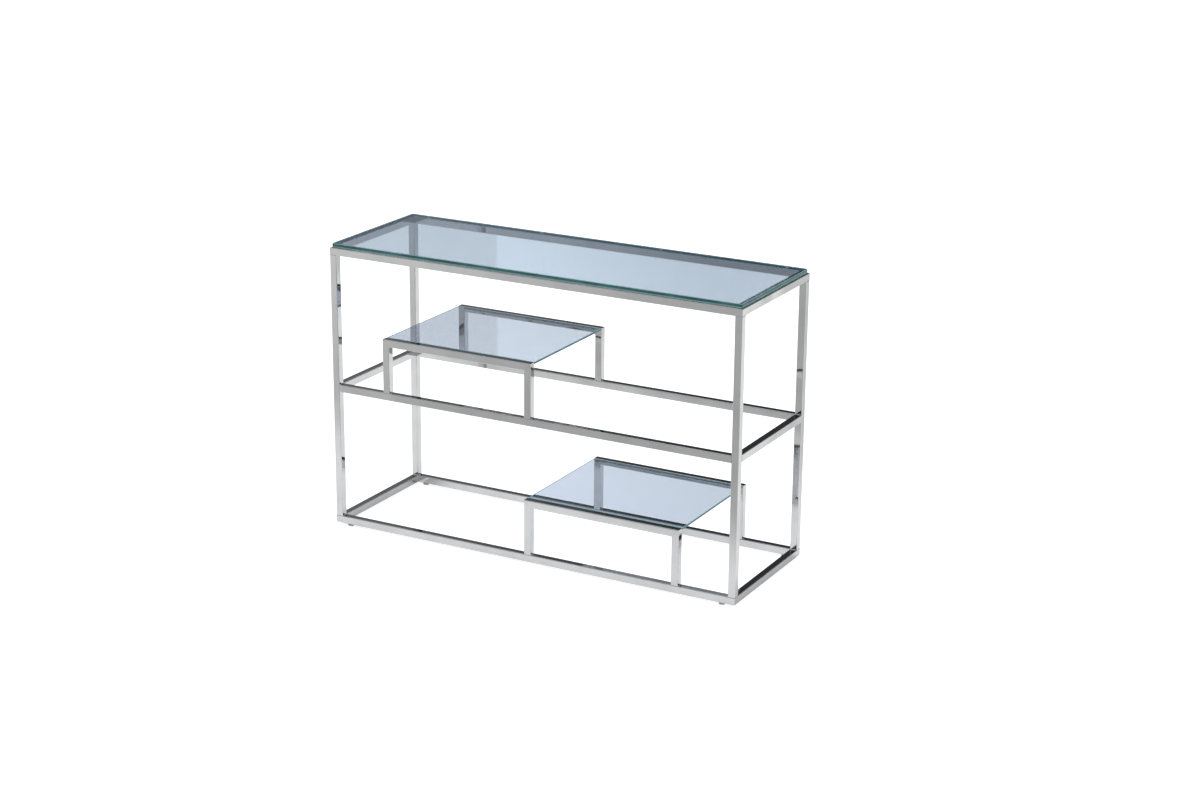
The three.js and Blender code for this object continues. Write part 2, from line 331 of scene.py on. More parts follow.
def square_tube(name, start_mitre=None, end_mitre=None, holes=()):
    """A hollow tube along the node's longest side.

    A mitre is the direction of the tube's long side at that end; without one the end is square.
    """
    centre, size, low, high = box_of(name)
    along = max(range(3), key=lambda axis: size[axis])
    across = [axis for axis in range(3) if axis != along]
    width, height = size[across[0]], size[across[1]]
    mesh = bmesh.new()
    around_layer = mesh.loops.layers.uv.new("tube_uv")

    def place(outline, position, mitre, inward):
        points = []
        for u, v in outline:
            offset = Vector((0, 0, 0))
            offset[across[0]] = u
            offset[across[1]] = v
            point = centre + offset
            point[along] = position
            if mitre is not None:
                point[along] += inward * (width / 2 - offset.dot(mitre))
            points.append(point)
        return points

    def section(inset):
        radius = max(TUBE_CORNER - inset, SMALLEST_CORNER)
        return rounded_outline(width - 2 * inset, height - 2 * inset, radius, TUBE_CORNER_STEPS)

    outer, seam, inner = section(0.0), section(TUBE_SEAM), section(TUBE_WALL)
    start, end = low[along], high[along]
    stations = (
        (seam, start, start_mitre, 1),
        (outer, start + TUBE_SEAM, start_mitre, 1),
        (outer, end - TUBE_SEAM, end_mitre, -1),
        (seam, end, end_mitre, -1),
        (inner, end, end_mitre, -1),
        (inner, start, start_mitre, 1),
    )
    rings = [ring_of(mesh, place(*station)) for station in stations]
    perimeter = 2 * (width + height)
    for lower, upper in zip(rings, rings[1:] + rings[:1]):
        count = len(lower)
        for i, face in enumerate(bridge(mesh, lower, upper)):
            for loop, column in zip(face.loops, (i, i + 1, i + 1, i)):
                loop[around_layer].uv = (perimeter * column / count, loop.vert.co[along])
    piece = finish_piece(mesh, name + "_tube", "frame", [chrome], [name])
    for hole_centre, radius in holes:
        cut_hole(piece, hole_centre, radius)


def cut_hole(piece, centre, radius):
    """Cuts a round upright hole through the lower wall of a tube."""
    mesh = bmesh.new()
    profile = ((radius, centre.z - CUTTER_REACH), (radius, centre.z + CUTTER_REACH))
    rings = turned(mesh, centre, profile, ROUND_STEPS)
    mesh.faces.new(rings[0])
    mesh.faces.new(rings[1])
    bmesh.ops.recalc_face_normals(mesh, faces=mesh.faces)
    cutter_data = bpy.data.meshes.new("cutter")
    mesh.to_mesh(cutter_data)
    mesh.free()
    cutter = bpy.data.objects.new("cutter", cutter_data)
    bpy.context.scene.collection.objects.link(cutter)
    cut = piece.modifiers.new("cut", "BOOLEAN")
    cut.operation = "DIFFERENCE"
    cut.solver = "EXACT"
    cut.object = cutter
    piece.modifiers.move(piece.modifiers.find("cut"), 0)
    normals = piece.modifiers["even_normals"]
    normals.show_viewport = False
    depsgraph = bpy.context.evaluated_depsgraph_get()
    result = bpy.data.meshes.new_from_object(piece.evaluated_get(depsgraph))
    normals.show_viewport = True
    old = piece.data
    piece.modifiers.remove(cut)
    piece.data = result
    bpy.data.meshes.remove(old)
    bpy.data.objects.remove(cutter)
    bpy.data.meshes.remove(cutter_data)


def add_frame_tubes():
    """The three rectangles of rails and the four legs."""
    outward = {"front": -Y, "rear": Y, "left": -X, "right": X}
    for level in ("bottom", "top"):
        for side, direction in outward.items():
            holes = []
            if level == "bottom" and side in ("front", "rear"):
                holes = [
                    foot_hole(f"{side}_left_threaded_insert"),
                    foot_hole(f"{side}_right_threaded_insert"),
                ]
            square_tube(f"{level}_{side}_rail", direction, direction, holes)
    for side in outward:
        square_tube(f"middle_{side}_rail")
    for corner in CORNERS:
        square_tube(f"{corner}_leg")


def foot_hole(insert):
    """Centre and radius of the hole that an insert sits in."""
    centre, _, low, _ = box_of(insert)
    in_wall = Vector((centre.x, centre.y, low.z + INSERT_FLANGE))
    return in_wall, INSERT_BODY_RADIUS + INSERT_HOLE_CLEARANCE


def add_bracket_tubes(shelf):
    """The front and rear bars of a shelf, mitred to the posts that carry them."""
    for side in ("front", "rear"):
        square_tube(f"{shelf}_shelf_{side}_bar", Z, Z)
        square_tube(f"{shelf}_shelf_{side}_left_post", None, -X)
        square_tube(f"{shelf}_shelf_{side}_right_post", None, X)


# ---------------------------------------------------------------- welds


def add_bead(mesh, start, run, length, first, second):
    """A rippled fillet along run, in the corner that opens towards first and second."""
    steps = max(BEAD_FEWEST_STEPS, round(length / BEAD_STEP))
    rings = []
    for step in range(steps + 1):
        travelled = length * step / steps
        from_middle = 2 * step / steps - 1
        taper = math.sqrt(max(BEAD_END_SHARE, 1 - from_middle ** BEAD_END_POWER))
        wave = 0.5 + 0.5 * math.cos(2 * math.pi * travelled / BEAD_RIPPLE_PITCH)
        leg = BEAD_LEG * taper * (1 - BEAD_RIPPLE * wave)
        base = start + run * travelled
        ring = [base]
        for arc in range(BEAD_ARC_STEPS + 1):
            angle = math.pi / 2 * arc / BEAD_ARC_STEPS
            reach = leg * (1 - BEAD_FLATTENING + BEAD_FLATTENING * abs(math.cos(2 * angle)))
            ring.append(base + first * reach * math.cos(angle) + second * reach * math.sin(angle))
        rings.append(ring_of(mesh, ring))
    for lower, upper in zip(rings, rings[1:]):
        bridge(mesh, lower, upper)
    mesh.faces.new(rings[0])
    mesh.faces.new(rings[-1])


def add_corner_bead(mesh, corner, run, width, first, second):
    """A bead across a tube's flat, centred on a corner point."""
    length = width - 2 * BEAD_END_GAP
    add_bead(mesh, corner - run * length / 2, run, length, first, second)


def add_frame_welds():
    """Beads where the legs meet the rails and where the middle rails meet the legs."""
    mesh = bmesh.new()
    for corner in CORNERS:
        centre, size, low, high = box_of(f"{corner}_leg")
        width = size.x
        to_middle = (-math.copysign(1, centre.x) * X, -math.copysign(1, centre.y) * Y)
        for inward, run in zip(to_middle, (Y, X)):
            face = centre + inward * width / 2
            for height, up in ((low.z, Z), (high.z, -Z)):
                add_corner_bead(mesh, Vector((face.x, face.y, height)), run, width, inward, up)
        rail = "middle_front_rail" if centre.y < 0 else "middle_rear_rail"
        rail_low, rail_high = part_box(rail)
        for inward, run in zip(to_middle, (Y, X)):
            face = centre + inward * width / 2
            for height, up in ((rail_low.z, -Z), (rail_high.z, Z)):
                add_corner_bead(mesh, Vector((face.x, face.y, height)), run, width, inward, up)
    finish_piece(mesh, "frame_welds", "frame", [chrome])


def add_shelf_welds(shelf):
    """Beads at the feet of a shelf's posts, in its mitred corners and under its ledges."""
    mesh = bmesh.new()
    for side in ("front", "rear"):
        bar_low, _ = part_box(f"{shelf}_shelf_{side}_bar")
        for end in ("left", "right"):
            centre, size, low, _ = box_of(f"{shelf}_shelf_{side}_{end}_post")
            inward = X if end == "left" else -X
            for direction in (X, -X):
                foot = Vector((centre.x, centre.y, low.z)) + direction * size.x / 2
                add_corner_bead(mesh, foot, Y, size.y, direction, Z)
            head = Vector((centre.x, centre.y, bar_low.z)) + inward * size.x / 2
            add_corner_bead(mesh, head, Y, size.y, inward, -Z)
        _, size, low, high = box_of(f"{shelf}_shelf_{side}_ledge")
        inward = Y if side == "front" else -Y
        wall = low.y if side == "front" else high.y
        for stitch in range(STITCHES):
            middle = low.x + size.x * (stitch + 0.5) / STITCHES
            start = Vector((middle - STITCH_LENGTH / 2, wall, low.z))
            add_bead(mesh, start, X, STITCH_LENGTH, inward, -Z)
    finish_piece(mesh, f"{shelf}_shelf_welds", "frame", [chrome])


# ---------------------------------------------------------------- glass, ledges, gaskets, bumpers


def add_pane(name, corner_radius, glass):
    """A pane with rounded corners; its ground edge has a rounded arris above and below."""
    centre, size, low, high = box_of(name)
    mesh = bmesh.new()
    levels = []
    for step in range(ARRIS_STEPS + 1):
        angle = math.pi / 2 * step / ARRIS_STEPS
        inset = GLASS_ARRIS * (1 - math.sin(angle))
        levels.append((inset, low.z + GLASS_ARRIS * (1 - math.cos(angle))))
    levels += [(inset, low.z + high.z - height) for inset, height in reversed(levels)]
    rings = []
    for inset, height in levels:
        radius = max(corner_radius - inset, SMALLEST_CORNER)
        outline = rounded_outline(size.x - 2 * inset, size.y - 2 * inset, radius, PANE_CORNER_STEPS)
        rings.append(ring_of(mesh, [(centre.x + u, centre.y + v, height) for u, v in outline]))
    for lower, upper in zip(rings, rings[1:]):
        bridge(mesh, lower, upper, material=1)
    mesh.faces.new(rings[0])
    mesh.faces.new(rings[-1])
    materials = [glass, glass_edge]
    finish_piece(mesh, name + "_pane", "frame", materials, [name], PANE_SHARP_DEGREES)


def add_bar(name, material, edge, ribs=0, rib_depth=0.0):
    """A bar along X with rounded long edges, and shallow ribs on top if asked."""
    centre, size, low, high = box_of(name)
    mesh = bmesh.new()
    outline = rounded_outline(size.y, size.z, edge, BAR_CORNER_STEPS)
    if ribs:
        top = []
        steps = ribs * RIB_STEPS
        for step in range(1, steps):
            share = step / steps
            dip = rib_depth * (0.5 - 0.5 * math.cos(2 * math.pi * ribs * share))
            top.append(((size.y / 2 - edge) - (size.y - 2 * edge) * share, size.z / 2 - dip))
        two_corners = 2 * (BAR_CORNER_STEPS + 1)
        outline = outline[:two_corners] + top + outline[two_corners:]
    rings = []
    for position, inset in ((low.x, edge), (low.x + edge, 0.0), (high.x - edge, 0.0), (high.x, edge)):
        squeeze_y = 1 - 2 * inset / size.y
        squeeze_z = 1 - 2 * inset / size.z
        points = [(position, centre.y + u * squeeze_y, centre.z + v * squeeze_z) for u, v in outline]
        rings.append(ring_of(mesh, points))
    for lower, upper in zip(rings, rings[1:]):
        bridge(mesh, lower, upper)
    mesh.faces.new(rings[0])
    mesh.faces.new(rings[-1])
    finish_piece(mesh, name + "_strip", "frame", [material], [name])


def add_bumper(name):
    """A domed clear disc between rail and glass, with a flat top that the glass lies on."""
    centre, size, low, high = box_of(name)
    radius = size.x / 2
    mesh = bmesh.new()
    profile = [(radius - BUMPER_EDGE, low.z), (radius, low.z + BUMPER_EDGE)]
    for step in range(1, BUMPER_DOME_STEPS + 1):
        angle = math.pi / 2 * step / BUMPER_DOME_STEPS
        reach = radius * (1 - BUMPER_DOME + BUMPER_DOME * math.cos(angle))
        profile.append((reach, low.z + (size.z - BUMPER_EDGE) * math.sin(angle)))
    profile.append((radius * BUMPER_FLAT, high.z))
    rings = turned(mesh, centre, profile, BUMPER_STEPS)
    mesh.faces.new(rings[0])
    mesh.faces.new(rings[-1])
    finish_piece(mesh, name + "_disc", "frame", [clear_plastic], [name])


# ---------------------------------------------------------------- feet


def add_pad(corner):
    """The swivel pad: grip ribs round the side, a hollow underneath, a socket for the stud."""
    name = f"{corner}_foot_pad"
    centre, size, low, high = box_of(name)
    radius = size.x / 2
    mesh = bmesh.new()

    def ribs(angle, height):
        on_side = low.z + PAD_CHAMFER <= height <= high.z - PAD_CHAMFER
        return -PAD_RIB_DEPTH * (0.5 - 0.5 * math.cos(PAD_RIBS * angle)) if on_side else 0.0

    profile = (
        (0.9 * SOCKET_RADIUS, low.z + PAD_HOLLOW),
        (radius - PAD_HOLLOW_INSET, low.z + PAD_HOLLOW),
        (radius - PAD_RIM_INSET, low.z),
        (radius - PAD_CHAMFER, low.z),
        (radius - 0.2 * MM, low.z + 0.5 * PAD_CHAMFER),
        (radius, low.z + PAD_CHAMFER),
        (radius, high.z - PAD_CHAMFER),
        (radius - 0.25 * PAD_CHAMFER, high.z - 0.45 * PAD_CHAMFER),
        (radius - PAD_CHAMFER, high.z),
        (SOCKET_RADIUS + SOCKET_LIP, high.z),
        (SOCKET_RADIUS, high.z - SOCKET_LIP_DEPTH),
        (SOCKET_RADIUS, low.z + SOCKET_FLOOR),
    )
    rings = turned(mesh, centre, profile, PAD_RIBS * RIB_STEPS, ribs)
    mesh.faces.new(rings[0])
    mesh.faces.new(rings[-1])
    finish_piece(mesh, name + "_ribbed", f"{corner}_pad", [foot_plastic], [name])


def hexagon_radius(angle):
    """Distance from the axis to a hexagon's side, in the direction of an angle."""
    from_flat = (angle + math.pi / 6) % (math.pi / 3) - math.pi / 6
    return HEX_FLATS / 2 / math.cos(from_flat)


def add_stud(corner):
    """The stud: a neck in the pad's socket, a hexagon collar and a helical thread."""
    name = f"{corner}_foot_stud"
    centre, size, low, high = box_of(name)
    mesh = bmesh.new()
    hex_top = HEX_BOTTOM + HEX_HEIGHT
    root = THREAD_RADIUS - THREAD_DEPTH

    def thread_radius(angle, height):
        turn = (height / THREAD_PITCH - angle / (2 * math.pi)) % 1.0
        crest = min(1.0, max(0.0, THREAD_CREST - THREAD_FLANK * abs(turn - 0.5)))
        lead = min(1.0, (high.z - height) / THREAD_LEAD)
        runout = min(1.0, max(0.0, (height - hex_top) / THREAD_PITCH))
        full = root + THREAD_DEPTH * crest * min(runout + THREAD_START_SHARE, 1.0)
        return min(full, root - THREAD_TIP_DROP + (THREAD_DEPTH + THREAD_TIP_DROP) * lead)

    def ring(radius_at, height):
        points = []
        for step in range(STUD_STEPS):
            angle = 2 * math.pi * step / STUD_STEPS
            reach = radius_at(angle)
            points.append((centre.x + reach * math.cos(angle), centre.y + reach * math.sin(angle), height))
        return ring_of(mesh, points)

    def circle(radius, height):
        return ring(lambda angle: radius, height)

    def hexagon(height):
        return ring(lambda angle: min(hexagon_radius(angle), size.x / 2), height)

    chamfered = HEX_FLATS / 2 - HEX_CHAMFER
    rings = [
        circle(NECK_END_RADIUS, low.z),
        circle(NECK_RADIUS, low.z + NECK_CHAMFER),
        circle(NECK_RADIUS, HEX_BOTTOM - RADIUS_STEP_RISE),
        circle(chamfered, HEX_BOTTOM),
        hexagon(HEX_BOTTOM + HEX_CHAMFER),
        hexagon(hex_top - HEX_CHAMFER),
        circle(chamfered, hex_top),
        circle(root + THREAD_ROOT_FLARE, hex_top + RADIUS_STEP_RISE),
    ]
    rows = round((high.z - hex_top) / THREAD_PITCH * THREAD_ROWS_PER_PITCH)
    for row in range(1, rows + 1):
        height = hex_top + (high.z - hex_top) * row / rows
        rings.append(ring(lambda angle, height=height: thread_radius(angle, height), height))
    for lower, upper in zip(rings, rings[1:]):
        bridge(mesh, lower, upper)
    mesh.faces.new(rings[0])
    mesh.faces.new(rings[-1])
    finish_piece(
        mesh, name + "_threaded", f"{corner}_stud", [zinc_steel], [name], STUD_SHARP_DEGREES
    )


def add_insert(corner):
    """The insert in the rail: a thin flange under the tube and a body round the bore."""
    name = f"{corner}_threaded_insert"
    centre, size, low, high = box_of(name)
    flange_radius = size.x / 2
    edge = INSERT_EDGE
    mesh = bmesh.new()
    profile = (
        (INSERT_BORE + 2 * edge, low.z),
        (flange_radius - 2 * edge, low.z),
        (flange_radius, low.z + 2 * edge),
        (flange_radius, low.z + INSERT_FLANGE - edge),
        (flange_radius - edge, low.z + INSERT_FLANGE),
        (INSERT_BODY_RADIUS, low.z + INSERT_FLANGE),
        (INSERT_BODY_RADIUS, high.z - 2 * edge),
        (INSERT_BODY_RADIUS - 2 * edge, high.z),
        (INSERT_BORE + 2 * edge, high.z),
        (INSERT_BORE, high.z - 2 * edge),
        (INSERT_BORE, low.z + 2 * edge),
    )
    rings = turned(mesh, centre, profile, ROUND_STEPS)
    bridge(mesh, rings[-1], rings[0])
    finish_piece(mesh, name + "_flanged", "frame", [zinc_steel], [name])


# ---------------------------------------------------------------- materials


class Shader:
    """A material's node tree, with short calls to add and join nodes."""

    def __init__(self, name):
        self.material = bpy.data.materials.new(name)
        self.material.use_nodes = True
        self.tree = self.material.node_tree
        self.tree.nodes.clear()
        self.output = self.add("ShaderNodeOutputMaterial")
        self.surface = self.add("ShaderNodeBsdfPrincipled")
        self.join(self.surface, "BSDF", self.output, "Surface")

    def add(self, kind, **settings):
        node = self.tree.nodes.new(kind)
        for key, value in settings.items():
            setattr(node, key, value)
        return node

    def join(self, source, output, target, name):
        self.tree.links.new(source.outputs[output], target.inputs[name])

    def set(self, **values):
        for name, value in values.items():
            self.surface.inputs[name.replace("_", " ").title().replace("Ior", "IOR")].default_value = value

    def place(self, stretch=(1, 1, 1), uv=None):
        """Texture coordinates in metres: the object's, or the tube's own along and around."""
        mapping = self.add("ShaderNodeMapping")
        mapping.inputs["Scale"].default_value = stretch
        if uv:
            self.join(self.add("ShaderNodeUVMap", uv_map=uv), "UV", mapping, "Vector")
        else:
            self.join(self.add("ShaderNodeTexCoord"), "Object", mapping, "Vector")
        return mapping

    def noise(self, scale, detail=2.0, roughness=0.5, stretch=(1, 1, 1), uv=None):
        place = self.place(stretch, uv)
        noise = self.add("ShaderNodeTexNoise")
        noise.inputs["Scale"].default_value = scale
        noise.inputs["Detail"].default_value = detail
        noise.inputs["Roughness"].default_value = roughness
        self.join(place, "Vector", noise, "Vector")
        return noise

    def spread(self, source, output, low, high, start=0.35, end=0.65):
        """Maps a value's range to low..high; each of these is a number or another such node."""
        spread = self.add("ShaderNodeMapRange", interpolation_type="SMOOTHSTEP")
        spread.inputs["From Min"].default_value = start
        spread.inputs["From Max"].default_value = end
        for name, value in (("To Min", low), ("To Max", high)):
            if isinstance(value, (int, float)):
                spread.inputs[name].default_value = value
            else:
                self.join(value, "Result", spread, name)
        self.join(source, output, spread, "Value")
        return spread

    def blend(self, factor, output, first, second):
        """A colour between two colours."""
        mix = self.add("ShaderNodeMix", data_type="RGBA")
        mix.inputs["A"].default_value = (*first, 1)
        mix.inputs["B"].default_value = (*second, 1)
        self.tree.links.new(factor.outputs[output], mix.inputs["Factor"])
        return mix

    def bump(self, source, output, distance, under=None):
        bump = self.add("ShaderNodeBump")
        bump.inputs["Distance"].default_value = distance
        bump.inputs["Strength"].default_value = 1.0
        self.join(source, output, bump, "Height")
        if under is not None:
            self.join(under, "Normal", bump, "Normal")
        return bump


def rgba_output(mix):
    """The colour output of a Mix node (it has one output of the same name for each type)."""
    return next(output for output in mix.outputs if output.type == "RGBA")


def first_rgba_input(mix):
    """The first of a Mix node's two colour inputs."""
    return next(socket for socket in mix.inputs if socket.type == "RGBA")


def make_chrome():
    """Mirror-polished steel: faint haze, polishing lines along the tube, walls not quite flat."""
    shader = Shader("polished_steel")
    shader.set(metallic=1.0)
    haze = shader.noise(scale=11.0, detail=5.0, roughness=0.6)
    tint = shader.blend(shader.spread(haze, "Fac", 0.0, 1.0), "Result", CHROME_DARK, CHROME_LIGHT)
    shader.tree.links.new(rgba_output(tint), shader.surface.inputs["Base Color"])
    lines = shader.noise(scale=1.0, detail=4.0, roughness=0.7, stretch=(2600, 35, 1), uv="tube_uv")
    smudge = shader.noise(scale=26.0, detail=6.0, roughness=0.65)
    gloss = shader.add("ShaderNodeMath", operation="ADD")
    rough_lines = shader.spread(lines, "Fac", 0.02, 0.05)
    rough_smudge = shader.spread(smudge, "Fac", 0.0, 0.045, start=0.5, end=0.72)
    shader.tree.links.new(rough_lines.outputs["Result"], gloss.inputs[0])
    shader.tree.links.new(rough_smudge.outputs["Result"], gloss.inputs[1])
    shader.join(gloss, "Value", shader.surface, "Roughness")
    wave = shader.noise(scale=9.0, detail=1.0)
    walls = shader.bump(wave, "Fac", TUBE_WAVE)
    polish = shader.bump(lines, "Fac", POLISHING_LINES, under=walls)
    shader.join(polish, "Normal", shader.surface, "Normal")
    return shader.material


def clear_to_lamps(shader):
    """Lets lamp light straight through, so that glass throws no dark shadow."""
    path = shader.add("ShaderNodeLightPath")
    through = shader.add("ShaderNodeBsdfTransparent")
    through.inputs["Color"].default_value = (*GLASS_SHADOW, 1)
    mix = shader.add("ShaderNodeMixShader")
    shader.join(path, "Is Shadow Ray", mix, "Fac")
    shader.tree.links.new(shader.surface.outputs["BSDF"], mix.inputs[1])
    shader.tree.links.new(through.outputs["BSDF"], mix.inputs[2])
    shader.join(mix, "Shader", shader.output, "Surface")


def make_glass(name, tint):
    """Clear float glass with the faintest wipe marks."""
    shader = Shader(name)
    shader.set(base_color=(*tint, 1), ior=1.5, transmission_weight=1.0)
    wipes = shader.noise(scale=7.0, detail=5.0, roughness=0.6, stretch=(1.0, 3.5, 1.0))
    haze = shader.spread(wipes, "Fac", 0.0, 0.008, start=0.45, end=0.7)
    shader.join(haze, "Result", shader.surface, "Roughness")
    sheet = shader.noise(scale=3.0, detail=1.0)
    shader.join(shader.bump(sheet, "Fac", GLASS_WAVE), "Normal", shader.surface, "Normal")
    clear_to_lamps(shader)
    return shader.material


def make_glass_edge():
    """The polished edge: deep teal, with a painted reflection of the steel making it paler near the
    bottom, and a painted highlight on the arrises.
    """
    shader = Shader("glass_edge")
    shader.set(ior=1.5, specular_ior_level=0.2)
    streaks = shader.noise(scale=14.0, detail=6.0, roughness=0.6, stretch=(1, 1, 6))
    tint = shader.blend(shader.spread(streaks, "Fac", 0.0, 1.0), "Result", EDGE_DARK, EDGE_LIGHT)
    extent = shader.add("ShaderNodeTexCoord")
    share = shader.add("ShaderNodeSeparateXYZ")
    shader.join(extent, "Generated", share, "Vector")
    # Painted reflection: the edge turns paler towards its bottom, as if the steel below shone into it.
    foot = shader.spread(share, "Z", 1.0, 0.0, start=0.08, end=0.42)
    painted_reflection = shader.blend(foot, "Result", (0, 0, 0), EDGE_STEEL_REFLECTION)
    shader.tree.links.new(rgba_output(tint), first_rgba_input(painted_reflection))
    facing = shader.add("ShaderNodeNewGeometry")
    upright = shader.add("ShaderNodeSeparateXYZ")
    shader.join(facing, "Normal", upright, "Vector")
    # Painted highlight: the edge is paler where its rounded arrises turn up or down.
    level = shader.add("ShaderNodeMath", operation="ABSOLUTE")
    shader.tree.links.new(upright.outputs["Z"], level.inputs[0])
    highlight = shader.spread(level, "Value", 0.0, 1.0, start=0.12, end=0.75)
    colour = shader.blend(highlight, "Result", (0, 0, 0), EDGE_ARRIS_HIGHLIGHT)
    shader.tree.links.new(rgba_output(painted_reflection), first_rgba_input(colour))
    shader.tree.links.new(rgba_output(colour), shader.surface.inputs["Base Color"])
    shader.join(shader.spread(streaks, "Fac", 0.08, 0.2), "Result", shader.surface, "Roughness")
    grinding = shader.noise(scale=1.0, detail=2.0, stretch=(900, 900, 90))
    shader.join(shader.bump(grinding, "Fac", GRINDING_MARKS), "Normal", shader.surface, "Normal")
    return shader.material


def make_clear_plastic():
    """Clear soft plastic, slightly cloudy."""
    shader = Shader("clear_plastic")
    shader.set(base_color=(*CLEAR_PLASTIC_TINT, 1), ior=1.46, transmission_weight=0.85)
    cloud = shader.noise(scale=500.0, detail=3.0)
    shader.join(shader.spread(cloud, "Fac", 0.12, 0.3), "Result", shader.surface, "Roughness")
    shader.join(shader.bump(cloud, "Fac", PLASTIC_CLOUD), "Normal", shader.surface, "Normal")
    return shader.material


def make_foot_plastic():
    """Moulded nylon with a fine grain and a little floor dust."""
    shader = Shader("foot_plastic")
    shader.set(ior=1.5)
    cloud = shader.noise(scale=240.0, detail=4.0, roughness=0.6)
    tint = shader.blend(shader.spread(cloud, "Fac", 0.0, 1.0), "Result", PAD_DARK, PAD_LIGHT)
    shader.tree.links.new(rgba_output(tint), shader.surface.inputs["Base Color"])
    grain = shader.noise(scale=5200.0, detail=2.0)
    shader.join(shader.spread(grain, "Fac", 0.42, 0.6), "Result", shader.surface, "Roughness")
    shader.join(shader.bump(grain, "Fac", PAD_GRAIN), "Normal", shader.surface, "Normal")
    return shader.material


def make_zinc_steel():
    """Bright zinc plating: soft cloudy sheen over fine turning marks."""
    shader = Shader("zinc_steel")
    shader.set(metallic=1.0)
    cloud = shader.noise(scale=700.0, detail=4.0, roughness=0.6)
    tint = shader.blend(shader.spread(cloud, "Fac", 0.0, 1.0), "Result", ZINC_DARK, ZINC_LIGHT)
    shader.tree.links.new(rgba_output(tint), shader.surface.inputs["Base Color"])
    shader.join(shader.spread(cloud, "Fac", 0.22, 0.36), "Result", shader.surface, "Roughness")
    marks = shader.noise(scale=1.0, detail=2.0, stretch=(300, 300, 9000))
    shader.join(shader.bump(marks, "Fac", TURNING_MARKS), "Normal", shader.surface, "Normal")
    return shader.material


# ---------------------------------------------------------------- stage, light and camera


def skewed(shader, split, along, across, slope):
    """One floor coordinate less slope times the other: constant along a slanting line."""
    line = shader.add("ShaderNodeMath", operation="MULTIPLY_ADD")
    line.inputs[1].default_value = -slope
    shader.tree.links.new(split.outputs[across], line.inputs[0])
    shader.tree.links.new(split.outputs[along], line.inputs[2])
    return line


def multiplied(shader, *factors):
    """The product of nodes' first outputs and numbers."""
    level = factors[0]
    for factor in factors[1:]:
        product = shader.add("ShaderNodeMath", operation="MULTIPLY")
        shader.tree.links.new(level.outputs[0], product.inputs[0])
        if isinstance(factor, float):
            product.inputs[1].default_value = factor
        else:
            shader.tree.links.new(factor.outputs[0], product.inputs[1])
        level = product
    return level


def floor_shade_in_mirrors(shader, split):
    """The floor's level for reflected rays, with painted shade: bright round the table, darker past two
    edges and beside the bottom side rails.
    """
    far = shader.spread(split, "X", FRONT_LEFT_LEVEL, FRONT_RIGHT_LEVEL, FRONT_LEFT, FRONT_RIGHT)
    front_line = skewed(shader, split, "Y", "X", FRONT_SKEW)
    front = shader.spread(front_line, "Value", far, 1.0, FRONT_DARK, FRONT_BRIGHT)
    back_line = skewed(shader, split, "Y", "X", BACK_SKEW)
    past = shader.spread(back_line, "Value", 1.0, BACK_LEVEL, BACK_BRIGHT, BACK_DARK)
    back = shader.spread(split, "X", 1.0, past, BACK_FROM, BACK_TO)

    # Wrapping x starts the shade again at the right side rail.
    rail_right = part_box("bottom_left_rail")[1].x
    beside = shader.add("ShaderNodeMath", operation="WRAP")
    beside.inputs[1].default_value = cad_bounds[1].x
    beside.inputs[2].default_value = rail_right
    shader.tree.links.new(split.outputs["X"], beside.inputs[0])
    shade = shader.spread(beside, "Value", SHADE_LEVEL, 1.0, rail_right, rail_right + SHADE_REACH)
    across = shader.add("ShaderNodeMath", operation="ABSOLUTE")
    shader.tree.links.new(split.outputs["Y"], across.inputs[0])
    near = shader.spread(across, "Value", shade, 1.0, SHADE_FROM, SHADE_TO)
    return multiplied(shader, front, back, near, FLOOR_IN_MIRRORS)


def floor_strip_through_glass(shader, split):
    """The floor's level for rays that came through glass: dimmer, with a painted bright strip of light."""
    line = skewed(shader, split, "X", "Y", STRIP_SKEW)
    painted_strip = shader.spread(line, "Value", STRIP_LEVEL, THROUGH_GLASS_LEVEL, STRIP_START, STRIP_END)
    edge_end = STRIP_START + STRIP_EDGE
    return shader.spread(line, "Value", THROUGH_GLASS_LEVEL, painted_strip, STRIP_START, edge_end)


def add_floor():
    """A wide white floor that glows a little."""
    mesh = bmesh.new()
    bmesh.ops.create_grid(mesh, x_segments=FLOOR_CELLS, y_segments=FLOOR_CELLS, size=FLOOR_REACH)
    data = bpy.data.meshes.new("floor")
    mesh.to_mesh(data)
    mesh.free()
    floor = bpy.data.objects.new("floor", data)
    bpy.context.scene.collection.objects.link(floor)
    shader = Shader("studio_floor")
    shader.set(roughness=FLOOR_ROUGHNESS, specular_ior_level=0.0, emission_strength=FLOOR_GLOW)
    shader.material.cycles.emission_sampling = "NONE"
    place = shader.add("ShaderNodeTexCoord")
    split = shader.add("ShaderNodeSeparateXYZ")
    shader.join(place, "Object", split, "Vector")
    path = shader.add("ShaderNodeLightPath")
    indirect = shader.add("ShaderNodeMix", data_type="FLOAT")
    shader.join(path, "Is Transmission Ray", indirect, "Factor")
    shader.join(floor_shade_in_mirrors(shader, split), "Value", indirect, "A")
    shader.join(floor_strip_through_glass(shader, split), "Result", indirect, "B")
    seen = shader.add("ShaderNodeMath", operation="MAXIMUM")
    shader.tree.links.new(indirect.outputs["Result"], seen.inputs[0])
    shader.tree.links.new(path.outputs["Is Camera Ray"], seen.inputs[1])
    for socket, white in (("Base Color", FLOOR_WHITE), ("Emission Color", 1.0)):
        colour = shader.blend(seen, "Value", (0, 0, 0), (white,) * 3)
        shader.tree.links.new(rgba_output(colour), shader.surface.inputs[socket])
    data.materials.append(shader.material)


